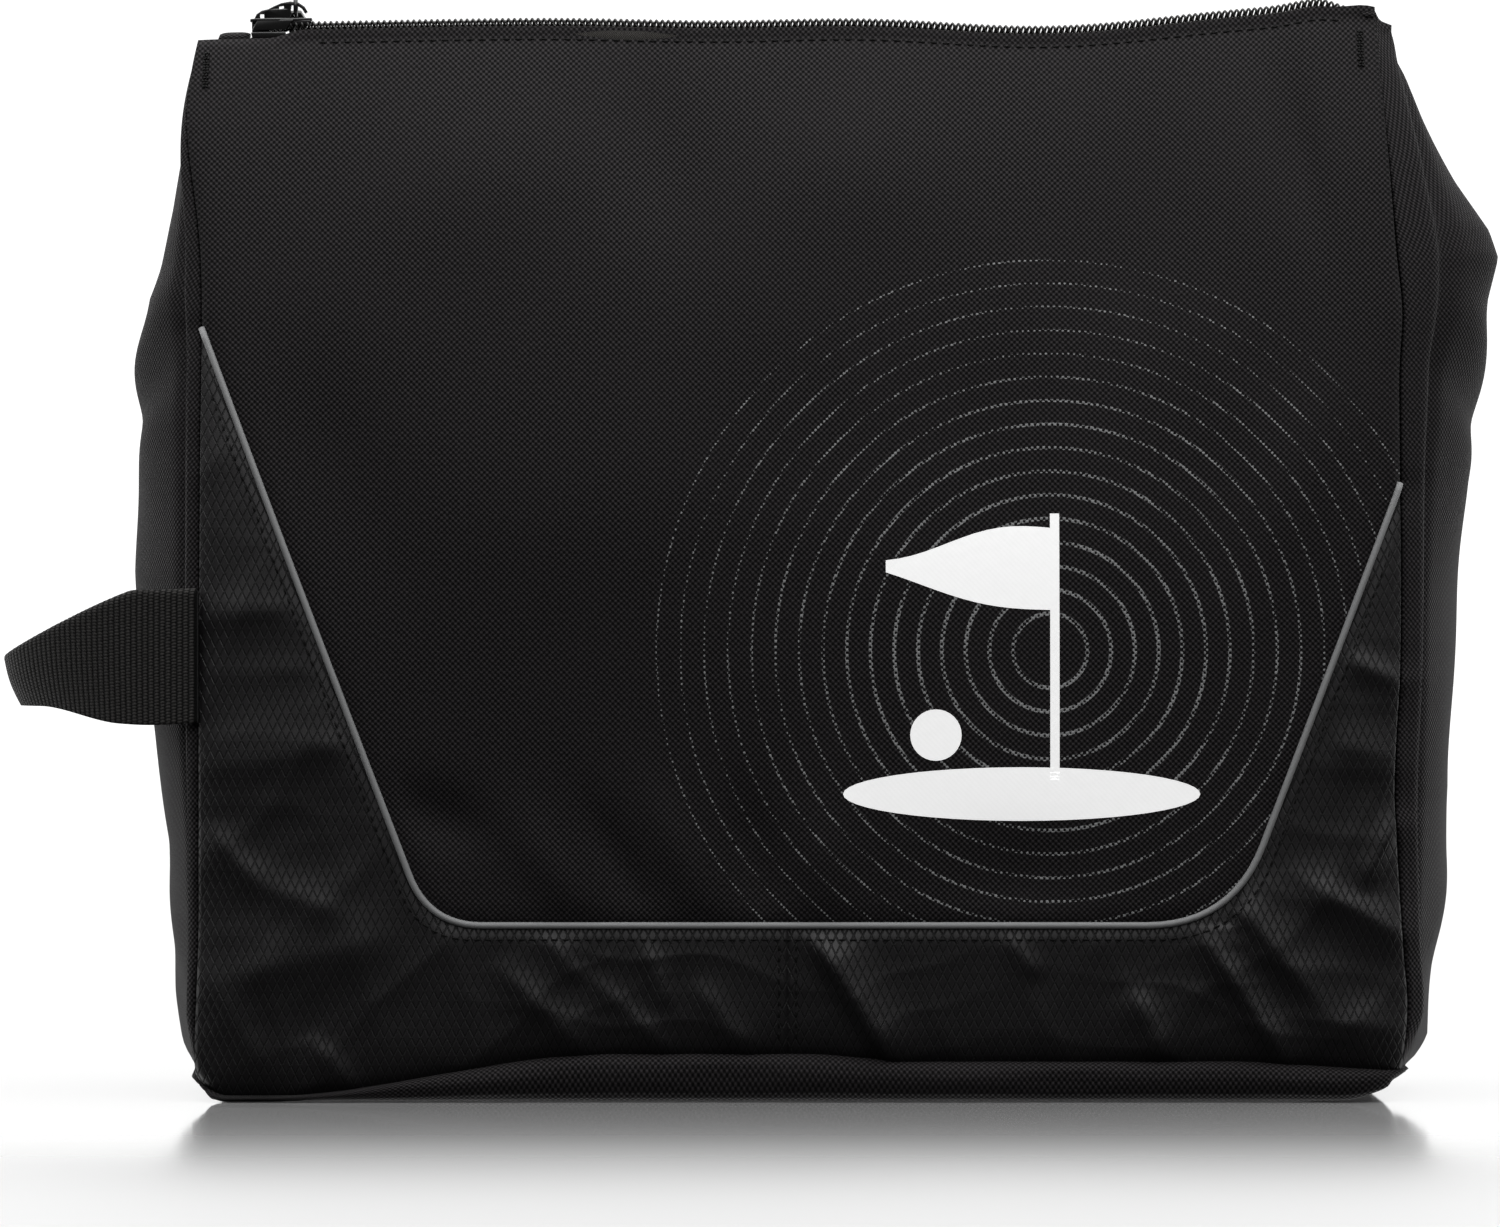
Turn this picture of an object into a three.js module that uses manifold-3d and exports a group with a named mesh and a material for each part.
// Golf shoe bag: an upright zipped bag for one pair of shoes, with a webbing loop on its left end.
// Millimetres, +Z up. The origin is the middle of the underside. The front faces -Y.
import * as THREE from "three";
import { mergeVertices } from "three/addons/utils/BufferGeometryUtils.js";
import Module from "manifold-3d";

const wasm = await Module();
wasm.setup();

// The bag
const HALF_WIDTH = 168; // side seams, from the middle
const HALF_DEPTH = 58; // front and back walls at the base
const CLOTH = 1.6; // woven cloth with its lining
const GAP = 0.3; // between pieces that touch
const BASE_LIP = 11; // the base cloth turns up this far, on a quarter circle
const HEM_REACH = 7; // the walls end this far from the middle plane, beside the zip
const HEM_LEFT = 301.6; // height of the wall's top edge at the left side seam
const ZIP_TILT = 0.01885; // the zip climbs to the right, radians
const TOP_LEAN = 5; // the top has slumped this far to the left

// The zip, in its own frame: x runs along it from the left side seam, z starts at the walls' top edge
const ZIP_LENGTH = 2 * HALF_WIDTH;
const TAPE = { from: 5, to: 321, inner: 1.7, outer: 5.1, top: 2, thick: 0.6, tail: -8 };
const COIL = { from: 16, to: 316, inner: 0.15, outer: 3, bottom: 2.15, top: 4.25 };
const TAB = { length: 7.5, halfWidth: 3, bottom: 2.3, top: 4.9, left: 2, right: 321.5 };
const SLIDER = { from: 10.2, to: 28, halfWidth: 4.2, floor: -0.6, ceiling: 5.7, plate: 1.2 };
const CROWN = { bar: 10.2, halfWidth: 1.4, thick: 1 };
const PULL = { x: 22, ringRadius: 2.6, ringWire: 0.65, length: 33, width: 5, thick: 1.4, hang: 36 };

// The webbing loop
const WEBBING = { width: 38, gripWidth: 17, thick: 2, gripThick: 5, z: 125, droop: 7.4, tilt: 3 };
const LOOP = { x: -170.6, reach: 52.4, halfSpan: 58 };

// The piping and the seam below it, on the front wall
const PIPING_RADIUS = 1.2;
const CHANNEL = PIPING_RADIUS + GAP;
const CENTRE_SEAM_X = -3.5;

const group = new THREE.Group();

const MATERIALS = {
  oxford: { color: 0x262425, roughness: 0.85, metalness: 0 },
  ripstop: { color: 0x1b1b1e, roughness: 0.5, metalness: 0 },
  piping: { color: 0xa9adab, roughness: 0.5, metalness: 0 },
  tape: { color: 0x241f1d, roughness: 0.8, metalness: 0 },
  coil: { color: 0x1c1a19, roughness: 0.5, metalness: 0 },
  metal: { color: 0x1a1a1c, roughness: 0.3, metalness: 0.6 },
  webbing: { color: 0x1f1d1d, roughness: 0.8, metalness: 0 },
};

function addPiece(name, geometry, look, parent = group) {
  const mesh = new THREE.Mesh(geometry, new THREE.MeshStandardMaterial(MATERIALS[look]));
  mesh.name = name;
  parent.add(mesh);
  return mesh;
}

// ---- solids ----

// Enclosed volume, negative where the faces point inwards.
function signedVolume(points, triangles) {
  let sum = 0;
  for (const [a, b, c] of triangles) {
    sum += points[a].dot(new THREE.Vector3().crossVectors(points[b], points[c])) / 6;
  }
  return sum;
}

// A closed sheet between two surfaces of the same two parameters, each from 0 to 1.
function sheet(outer, inner, columns, rows) {
  const points = [];
  for (const surface of [outer, inner]) {
    for (let row = 0; row <= rows; row++) {
      for (let column = 0; column <= columns; column++) {
        points.push(new THREE.Vector3(...surface(column / columns, row / rows)));
      }
    }
  }
  const layer = (columns + 1) * (rows + 1);
  const at = (column, row) => row * (columns + 1) + column;
  const triangles = [];
  const quad = (a, b, c, d) => triangles.push([a, b, c], [a, c, d]);
  for (let row = 0; row < rows; row++) {
    for (let column = 0; column < columns; column++) {
      const corners = [
        at(column, row),
        at(column + 1, row),
        at(column + 1, row + 1),
        at(column, row + 1),
      ];
      quad(...corners);
      quad(...corners.map((corner) => corner + layer).reverse());
    }
  }
  const border = [];
  for (let column = 0; column < columns; column++) border.push(at(column, 0));
  for (let row = 0; row < rows; row++) border.push(at(columns, row));
  for (let column = columns; column > 0; column--) border.push(at(column, rows));
  for (let row = rows; row > 0; row--) border.push(at(0, row));
  border.forEach((from, i) => {
    const to = border[(i + 1) % border.length];
    quad(to, from, from + layer, to + layer);
  });
  if (signedVolume(points, triangles) < 0) triangles.forEach((triangle) => triangle.reverse());
  const geometry = new THREE.BufferGeometry().setFromPoints(points);
  geometry.setIndex(triangles.flat());
  geometry.computeVertexNormals();
  return geometry;
}

// An outline in X and Z, made solid from the middle plane forward past the front wall.
function frontCutter(points) {
  const outline = new THREE.Shape(points.map(([x, z]) => new THREE.Vector2(x, z)));
  const cutter = new THREE.ExtrudeGeometry(outline, { depth: 2 * HALF_DEPTH, bevelEnabled: false });
  return cutter.rotateX(Math.PI / 2);
}

// A section in Y and Z, drawn out along X.
function alongX(points, from, to) {
  const section = new THREE.Shape(points.map(([y, z]) => new THREE.Vector2(y, z)));
  const bar = new THREE.ExtrudeGeometry(section, { depth: to - from, bevelEnabled: false });
  const turn = new THREE.Matrix4().makeBasis(
    new THREE.Vector3(0, 1, 0),
    new THREE.Vector3(0, 0, 1),
    new THREE.Vector3(1, 0, 0),
  );
  return bar.applyMatrix4(turn).translate(from, 0, 0);
}

function box(x, y, z) {
  const block = new THREE.BoxGeometry(x[1] - x[0], y[1] - y[0], z[1] - z[0]);
  return block.translate((x[0] + x[1]) / 2, (y[0] + y[1]) / 2, (z[0] + z[1]) / 2);
}

function toSolid(geometry) {
  const bare = new THREE.BufferGeometry();
  bare.setAttribute("position", geometry.getAttribute("position"));
  bare.setIndex(geometry.getIndex());
  const merged = mergeVertices(bare, 1e-4);
  return new wasm.Manifold(
    new wasm.Mesh({
      numProp: 3,
      vertProperties: merged.getAttribute("position").array,
      triVerts: new Uint32Array(merged.getIndex().array),
    }),
  );
}

function toGeometry(solid) {
  const mesh = solid.getMesh();
  const geometry = new THREE.BufferGeometry();
  geometry.setAttribute("position", new THREE.BufferAttribute(mesh.vertProperties, 3));
  geometry.setIndex(new THREE.BufferAttribute(mesh.triVerts, 1));
  geometry.computeVertexNormals();
  return geometry;
}

function join(geometries) {
  return toGeometry(geometries.map(toSolid).reduce((whole, piece) => whole.add(piece)));
}

// ---- the shape of the bag ----

const mix = (a, b, share) => a + (b - a) * share;

// Height of the walls' top edge.
const hemHeight = (x) => HEM_LEFT + (x + HALF_WIDTH) * Math.tan(ZIP_TILT);

// How far up the wall a height is, from 0 at the base cloth's lip to 1 at the top edge.
const climb = (x, z) => (z - BASE_LIP) / (hemHeight(x) - BASE_LIP);

// Distance of the front or back wall from the middle plane: upright low down, leaning in to the zip.
function wallReach(x, z) {
  if (z < BASE_LIP) {
    return HALF_DEPTH - BASE_LIP + Math.sqrt(BASE_LIP ** 2 - (BASE_LIP - z) ** 2);
  }
  return mix(HALF_DEPTH, HEM_REACH, climb(x, z) ** 4);
}

// Where the side seam stands, side is -1 for the left and 1 for the right.
const seamX = (side, z) => side * HALF_WIDTH - TOP_LEAN * Math.max(0, climb(0, z)) ** 4;

// How far each gusset's fold stands out beyond its seams, by height.
const FOLDS = {
  [-1]: foldCurve([
    [5, 4],
    [10, 25],
    [14, 85],
    [21, 150],
    [21, 205],
    [16, 235],
    [8, 268],
    [3, 305],
  ]),
  [1]: foldCurve([
    [5, 4],
    [11, 20],
    [18, 105],
    [23, 184],
    [30, 236],
    [18, 262],
    [7, 286],
    [3, 308],
  ]),
};

function foldCurve(points) {
  return new THREE.SplineCurve(points.map(([out, z]) => new THREE.Vector2(out, z))).getPoints(60);
}

function foldOut(side, z) {
  const curve = FOLDS[side];
  if (z < curve[0].y) return curve[0].x * Math.sqrt(Math.max(0, z) / curve[0].y);
  const next = curve.findIndex((point) => point.y > z);
  if (next < 1) return curve.at(-1).x;
  const [a, b] = [curve[next - 1], curve[next]];
  return mix(a.x, b.x, (z - a.y) / (b.y - a.y));
}

// ---- walls ----

// One wall, front (facing = -1) or back (facing = 1), from the base cloth's lip to the top edge.
function wall(facing, columns, rows) {
  const surface = (inset) => (across, up) => {
    const zLeft = mix(BASE_LIP + GAP, hemHeight(-HALF_WIDTH), up);
    const zRight = mix(BASE_LIP + GAP, hemHeight(HALF_WIDTH), up);
    const x = mix(seamX(-1, zLeft) + GAP / 2, seamX(1, zRight) - GAP / 2, across);
    const z = mix(zLeft, zRight, across);
    return [x, facing * (wallReach(x, z) - inset), z];
  };
  return sheet(surface(0), surface(CLOTH), columns, rows);
}

function gusset(side) {
  const surface = (outset) => (across, up) => {
    const z = mix(GAP, hemHeight(side * HALF_WIDTH), up);
    const share = mix(-1, 1, across);
    const fold = foldOut(side, z) * (1 - Math.abs(share) ** 1.5);
    return [seamX(side, z) + side * (GAP / 2 + outset + fold), share * wallReach(0, z), z];
  };
  return sheet(surface(CLOTH), surface(0), 12, 20);
}

// A floor that turns up at the front and the back.
function basePanel() {
  const arc = (radius, from, to) => {
    const points = [];
    for (let i = 0; i <= 5; i++) {
      const angle = mix(from, to, i / 5);
      points.push([radius * Math.cos(angle), BASE_LIP + radius * Math.sin(angle)]);
    }
    return points;
  };
  const middle = HALF_DEPTH - BASE_LIP;
  const right = arc(BASE_LIP, -Math.PI / 2, 0).map(([y, z]) => [middle + y, z]);
  const rightInner = arc(BASE_LIP - CLOTH, 0, -Math.PI / 2).map(([y, z]) => [middle + y, z]);
  const mirror = (points) => points.map(([y, z]) => [-y, z]).reverse();
  const section = [...right, ...rightInner, ...mirror(rightInner), ...mirror(right)];
  const end = HALF_WIDTH - GAP / 2;
  return alongX(section, -end, end);
}

// ---- the front wall's panels ----

// The piping's line in X and Z: down from the left seam, across, and up to the right seam.
function pipingLine() {
  const cornerLeft = new THREE.Vector2(-104, 49.5);
  const cornerRight = new THREE.Vector2(121, 50.5);
  const topLeft = new THREE.Vector2(-172, 226);
  const topRight = new THREE.Vector2(172, 183.5);
  const near = (corner, other, distance) =>
    other.clone().sub(corner).setLength(distance).add(corner);
  const line = new THREE.Path();
  const bend = (corner, before, after, setback) => {
    const enter = near(corner, before, setback);
    const leave = near(corner, after, setback);
    line.lineTo(enter.x, enter.y);
    line.quadraticCurveTo(corner.x, corner.y, leave.x, leave.y);
  };
  line.moveTo(topLeft.x, topLeft.y);
  bend(cornerLeft, topLeft, cornerRight, 15);
  bend(cornerRight, cornerLeft, topRight, 24);
  line.lineTo(topRight.x, topRight.y);
  return line.getPoints(6);
}

// Everything above the piping's line, moved by offset away from the middle of the panel.
function abovePiping(offset) {
  const line = pipingLine();
  const moved = line.map((point, i) => {
    const before = line[Math.max(0, i - 1)];
    const after = line[Math.min(line.length - 1, i + 1)];
    const along = after.clone().sub(before).normalize();
    return [point.x + along.y * offset, point.y - along.x * offset];
  });
  const sky = HEM_LEFT + 50;
  const end = moved.at(-1);
  return frontCutter([...moved, [end[0], sky], [moved[0][0], sky]]);
}

function addFrontWall() {
  const front = toSolid(wall(-1, 16, 14));
  addPiece("front_panel", toGeometry(front.intersect(toSolid(abovePiping(-CHANNEL)))), "oxford");
  const lower = front.subtract(toSolid(abovePiping(CHANNEL)));
  const far = 2 * HALF_WIDTH;
  const half = (from, to) => toSolid(box([from, to], [-2 * HALF_DEPTH, 0], [0, far]));
  const left = lower.intersect(half(-far, CENTRE_SEAM_X - GAP / 2));
  const right = lower.intersect(half(CENTRE_SEAM_X + GAP / 2, far));
  addPiece("front_lower_left", toGeometry(left), "ripstop");
  addPiece("front_lower_right", toGeometry(right), "ripstop");
}

// A round cord that lies in the channel between the panels.
function pipingCord() {
  const inside = pipingLine().filter(({ x, y }) => Math.abs(x) < Math.abs(seamX(Math.sign(x), y)));
  const onSeam = (side, from, to) => {
    const share = (side * (HALF_WIDTH - 1.5) - from.x) / (to.x - from.x);
    return from.clone().lerp(to, share);
  };
  const all = pipingLine();
  const route = [onSeam(-1, all[0], all[1]), ...inside, onSeam(1, all.at(-1), all.at(-2))];
  const points = route.flatMap((point, i) => {
    const next = route[i + 1];
    if (!next) return [point];
    const steps = Math.max(1, Math.round(point.distanceTo(next) / 25));
    return Array.from({ length: steps }, (_, k) => point.clone().lerp(next, k / steps));
  });
  const curve = new THREE.CatmullRomCurve3(
    points.map(({ x, y }) => new THREE.Vector3(x, -wallReach(x, y) + PIPING_RADIUS / 2, y)),
  );
  const section = new THREE.Shape().absarc(0, 0, PIPING_RADIUS, 0, 2 * Math.PI);
  return new THREE.ExtrudeGeometry(section, { steps: 72, curveSegments: 4, extrudePath: curve });
}

// ---- the zip ----

const zip = new THREE.Group();
zip.position.set(-HALF_WIDTH, 0, HEM_LEFT);
zip.rotation.y = -ZIP_TILT;
group.add(zip);

// A tape that stands inside the wall's hem and turns over towards the middle, under its coil.
function zipTape(facing) {
  const { inner, outer, top, thick, tail } = TAPE;
  const section = [
    [inner, top],
    [inner, top - thick],
    [outer - thick, top - thick],
    [outer - thick, tail],
    [outer, tail],
    [outer, top],
  ];
  return alongX(
    section.map(([y, z]) => [facing * y, z]),
    TAPE.from,
    TAPE.to,
  );
}

// One side's coil, as a bar of its outer size.
function zipCoil(facing) {
  const y = [facing * COIL.inner, facing * COIL.outer].sort((a, b) => a - b);
  return box([COIL.from, COIL.to], y, [COIL.bottom, COIL.top]);
}

function endTab(from) {
  return box([from, from + TAB.length], [-TAB.halfWidth, TAB.halfWidth], [TAB.bottom, TAB.top]);
}

// Two plates joined by a post at the end that closes, with skirts over the coils.
function sliderBody() {
  const { from, to, halfWidth, floor, ceiling, plate } = SLIDER;
  const outline = new THREE.Shape(
    [
      [from, -2.4],
      [from + 2, -halfWidth],
      [to - 6, -halfWidth],
      [to, -halfWidth + 0.6],
      [to, halfWidth - 0.6],
      [to - 6, halfWidth],
      [from + 2, halfWidth],
      [from, 2.4],
    ].map(([x, y]) => new THREE.Vector2(x, y)),
  );
  const slab = (bottom) =>
    new THREE.ExtrudeGeometry(outline, { depth: plate, bevelEnabled: false }).translate(0, 0, bottom);
  const post = box([from + 0.8, COIL.from - 1], [-1.3, 1.3], [floor + 0.5, ceiling - 0.5]);
  const skirt = (facing) => {
    const shape = new THREE.Shape(
      [
        [from + 2, ceiling - plate / 2],
        [from + 2, 2.5],
        [to - 7, 2.5],
        [to - 5, 3.6],
        [to - 5, ceiling - plate / 2],
      ].map(([x, z]) => new THREE.Vector2(x, z)),
    );
    const side = new THREE.ExtrudeGeometry(shape, { depth: 0.8, bevelEnabled: false });
    return side.rotateX(Math.PI / 2).translate(0, facing < 0 ? 0.8 - halfWidth : halfWidth, 0);
  };
  return join([slab(floor), slab(ceiling - plate), post, skirt(-1), skirt(1)]);
}

// The arch that holds the pull: rooted at the left, open at its hooked right end.
function sliderCrown() {
  const path = new THREE.CatmullRomCurve3(
    [
      [SLIDER.from + 2, SLIDER.ceiling + GAP],
      [SLIDER.from + 2.6, SLIDER.ceiling + 2.6],
      [SLIDER.from + 6, CROWN.bar - 0.2],
      [PULL.x, CROWN.bar],
      [SLIDER.to - 2, CROWN.bar - 0.6],
      [SLIDER.to - 0.6, CROWN.bar - 2.6],
    ].map(([x, z]) => new THREE.Vector3(x, 0, z)),
  );
  const [half, rise] = [CROWN.halfWidth, CROWN.thick / 2];
  const section = new THREE.Shape(
    [
      [-half, -rise],
      [half, -rise],
      [half, rise],
      [-half, rise],
    ].map(([x, y]) => new THREE.Vector2(x, y)),
  );
  return new THREE.ExtrudeGeometry(section, { steps: 16, extrudePath: path });
}

// A ring round the crown's bar with a flat tab on it. It lies back over the far side.
function pullTab() {
  const ring = new THREE.TorusGeometry(PULL.ringRadius, PULL.ringWire, 8, 20).rotateY(Math.PI / 2);
  const half = PULL.width / 2;
  const outline = new THREE.Shape();
  outline.moveTo(-half, 0);
  outline.lineTo(half, 0);
  outline.lineTo(half, PULL.length - half);
  outline.absarc(0, PULL.length - half, half, 0, Math.PI, false);
  outline.lineTo(-half, 0);
  const tab = new THREE.ExtrudeGeometry(outline, {
    depth: PULL.thick,
    bevelEnabled: false,
    curveSegments: 6,
  }).translate(0, PULL.ringRadius, -PULL.thick / 2);
  const pull = join([ring, tab]);
  return pull.rotateX(-THREE.MathUtils.degToRad(PULL.hang)).translate(PULL.x, 0, CROWN.bar);
}

function addZip() {
  addPiece("front_zip_tape", zipTape(-1), "tape", zip);
  addPiece("back_zip_tape", zipTape(1), "tape", zip);
  addPiece("front_zip_coil", zipCoil(-1), "coil", zip);
  addPiece("back_zip_coil", zipCoil(1), "coil", zip);
  addPiece("left_end_tab", endTab(TAB.left), "tape", zip);
  addPiece("right_end_tab", endTab(TAB.right), "tape", zip);
  addPiece("slider_body", sliderBody(), "metal", zip);
  addPiece("slider_crown", sliderCrown(), "metal", zip);
  addPiece("pull_tab", pullTab(), "metal", zip);
}

// ---- the loop ----

// The webbing's middle line in plan, an arch from the front seam to the back seam.
const loopX = (y) => LOOP.x - LOOP.reach * (1 - (y / LOOP.halfSpan) ** 2);

// A stretch of the loop: full width where it is sewn, folded to half of it at the grip.
function webbing(fromY, toY, columns) {
  const surface = (side) => (across, up) => {
    const y = mix(fromY, toY, across);
    const grip = 1 - Math.min(1, Math.abs(y) / 45) ** 2;
    const slope = (2 * LOOP.reach * y) / LOOP.halfSpan ** 2;
    const normal = new THREE.Vector2(-1, slope).normalize();
    const out = (side * mix(WEBBING.thick, WEBBING.gripThick, grip)) / 2;
    const share = mix(-1, 1, up);
    const rise = (share * mix(WEBBING.width, WEBBING.gripWidth, grip)) / 2;
    return [
      loopX(y) + normal.x * out - grip * WEBBING.tilt * share,
      y + normal.y * out,
      WEBBING.z - WEBBING.droop * grip + rise,
    ];
  };
  return sheet(surface(1), surface(-1), columns, 4);
}

function addLoop() {
  addPiece("handle_front_end", webbing(-57, -53.5, 2), "webbing");
  addPiece("handle_grip", webbing(-47.7, 47.7, 20), "webbing");
  addPiece("handle_back_end", webbing(53.5, 57, 2), "webbing");
}

addPiece("base_panel", basePanel(), "oxford");
addPiece("back_panel", wall(1, 12, 14), "oxford");
addPiece("left_gusset", gusset(-1), "oxford");
addPiece("right_gusset", gusset(1), "oxford");
addFrontWall();
addPiece("piping_cord", pipingCord(), "piping");
addZip();
addLoop();

export default group;
